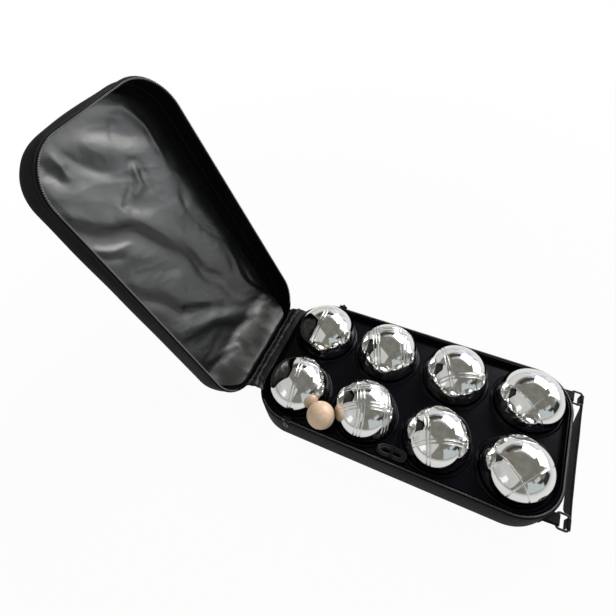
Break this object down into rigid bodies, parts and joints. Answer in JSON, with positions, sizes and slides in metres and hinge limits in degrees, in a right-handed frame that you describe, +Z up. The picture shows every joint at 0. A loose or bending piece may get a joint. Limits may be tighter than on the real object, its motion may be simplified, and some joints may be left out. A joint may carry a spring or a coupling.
{
  "type": "petanque boule set",
  "caption": "Petanque boules of grooved steel in a formed tray, with a wooden jack and a measuring cord, in a zipped case whose hinged lid stands open.",
  "frame": {"origin": "on the ground under the middle of the case's base", "axes": "+X toward the handle, -X toward the lid's hinge, +Y toward the back row of boules, +Z up"},
  "size_m": [0.537, 0.1866, 0.3413],
  "materials": {
    "boule_steel": "bright chromed steel, turned and polished",
    "weld_steel": "weld seam ground flush and chromed",
    "nylon": "black woven nylon, matte",
    "piping": "black fabric-covered piping cord",
    "zip_tape": "black woven zip tape",
    "zip_teeth": "black nylon coil zip teeth",
    "tray_plastic": "blue-black vacuum-formed sheet, satin gloss",
    "webbing": "black woven webbing",
    "lining_vinyl": "thin grey-black soft vinyl lining with a low sheen",
    "slider_metal": "black painted die-cast metal",
    "pull_metal": "dark grey bent wire",
    "ring_plastic": "black moulded plastic",
    "jack_wood": "pale turned beech, plain varnish",
    "cord": "dark braided cord"
  },
  "bodies": {
    "base": {"case_floor": "nylon", "base_wall": "nylon", "base_piping": "piping", "base_zip_tape": "zip_tape", "base_zip_teeth": "zip_teeth", "hinge_band": "nylon", "hinge_strip": "nylon", "tray": "tray_plastic", "tab_front": "webbing", "tab_back": "webbing"},
    "lid": {"lid_panel": "nylon", "lid_wall": "nylon", "lid_lining": "lining_vinyl", "lid_piping": "piping", "lid_zip_tape": "zip_tape", "lid_zip_teeth": "zip_teeth", "lid_hinge_band": "nylon", "lid_hinge_strip": "nylon"},
    "slider_front": {"slider_front": "slider_metal"},
    "slider_back": {"slider_back": "slider_metal"},
    "pull_front": {"pull_front": "pull_metal"},
    "pull_back": {"pull_back": "pull_metal"},
    "handle": {"ring_front": "ring_plastic", "ring_back": "ring_plastic", "handle_strap": "webbing"},
    "boule_1": {"boule_1_upper": "boule_steel", "boule_1_lower": "boule_steel", "boule_1_weld": "weld_steel"},
    "boule_2": {"boule_2_upper": "boule_steel", "boule_2_lower": "boule_steel", "boule_2_weld": "weld_steel"},
    "boule_3": {"boule_3_upper": "boule_steel", "boule_3_lower": "boule_steel", "boule_3_weld": "weld_steel"},
    "boule_4": {"boule_4_upper": "boule_steel", "boule_4_lower": "boule_steel", "boule_4_weld": "weld_steel"},
    "boule_5": {"boule_5_upper": "boule_steel", "boule_5_lower": "boule_steel", "boule_5_weld": "weld_steel"},
    "boule_6": {"boule_6_upper": "boule_steel", "boule_6_lower": "boule_steel", "boule_6_weld": "weld_steel"},
    "boule_7": {"boule_7_upper": "boule_steel", "boule_7_lower": "boule_steel", "boule_7_weld": "weld_steel"},
    "boule_8": {"boule_8_upper": "boule_steel", "boule_8_lower": "boule_steel", "boule_8_weld": "weld_steel"},
    "jack": {"jack": "jack_wood"},
    "cord": {"measuring_cord": "cord", "cord_tie": "cord"}
  },
  "joints": [
    {"name": "lid_hinge", "type": "hinge", "parent": "base", "child": "lid", "pos_m": [-0.1747, 0, 0.0228], "axis": [0, -1, 0], "range_deg": [-111, 6]},
    {"name": "slider_front_slide", "type": "slide", "parent": "base", "child": "slider_front", "axis": [1, 0, 0], "range_m": [0, 0.242]},
    {"name": "pull_front_hinge", "type": "hinge", "parent": "slider_front", "child": "pull_front", "pos_m": [-0.121, -0.0914, 0.0388], "axis": [-1, 0, 0], "range_deg": [0, 150]},
    {"name": "slider_back_slide", "type": "slide", "parent": "base", "child": "slider_back", "axis": [1, 0, 0], "range_m": [0, 0.242]},
    {"name": "pull_back_hinge", "type": "hinge", "parent": "slider_back", "child": "pull_back", "pos_m": [-0.121, 0.0914, 0.0388], "axis": [1, 0, 0], "range_deg": [0, 150]},
    {"name": "handle_swing", "type": "hinge", "parent": "base", "child": "handle", "pos_m": [0.1714, 0, 0.028], "axis": [0, -1, 0], "range_deg": [-14, 70]},
    {"name": "boule_1_lift", "type": "slide", "parent": "base", "child": "boule_1", "axis": [-0.1925, 0.1925, 0.9623], "range_m": [0, 0.09]},
    {"name": "boule_2_lift", "type": "slide", "parent": "base", "child": "boule_2", "axis": [0.1925, 0.1925, 0.9623], "range_m": [0, 0.09]},
    {"name": "boule_3_lift", "type": "slide", "parent": "base", "child": "boule_3", "axis": [0.1925, 0.1925, 0.9623], "range_m": [0, 0.09]},
    {"name": "boule_4_lift", "type": "slide", "parent": "base", "child": "boule_4", "axis": [0.1925, 0.1925, 0.9623], "range_m": [0, 0.09]},
    {"name": "boule_5_lift", "type": "slide", "parent": "base", "child": "boule_5", "axis": [-0.1925, 0.1925, 0.9623], "range_m": [0, 0.09]},
    {"name": "boule_6_lift", "type": "slide", "parent": "base", "child": "boule_6", "axis": [0.1925, 0.1925, 0.9623], "range_m": [0, 0.09]},
    {"name": "boule_7_lift", "type": "slide", "parent": "base", "child": "boule_7", "axis": [0.1925, 0.1925, 0.9623], "range_m": [0, 0.09]},
    {"name": "boule_8_lift", "type": "slide", "parent": "base", "child": "boule_8", "axis": [0.1925, 0.1925, 0.9623], "range_m": [0, 0.09]},
    {"name": "jack_lift", "type": "slide", "parent": "base", "child": "jack", "axis": [0, 0, 1], "range_m": [0, 0.06]},
    {"name": "cord_lift", "type": "slide", "parent": "base", "child": "cord", "axis": [0, 0, 1], "range_m": [0, 0.05]}
  ]
}
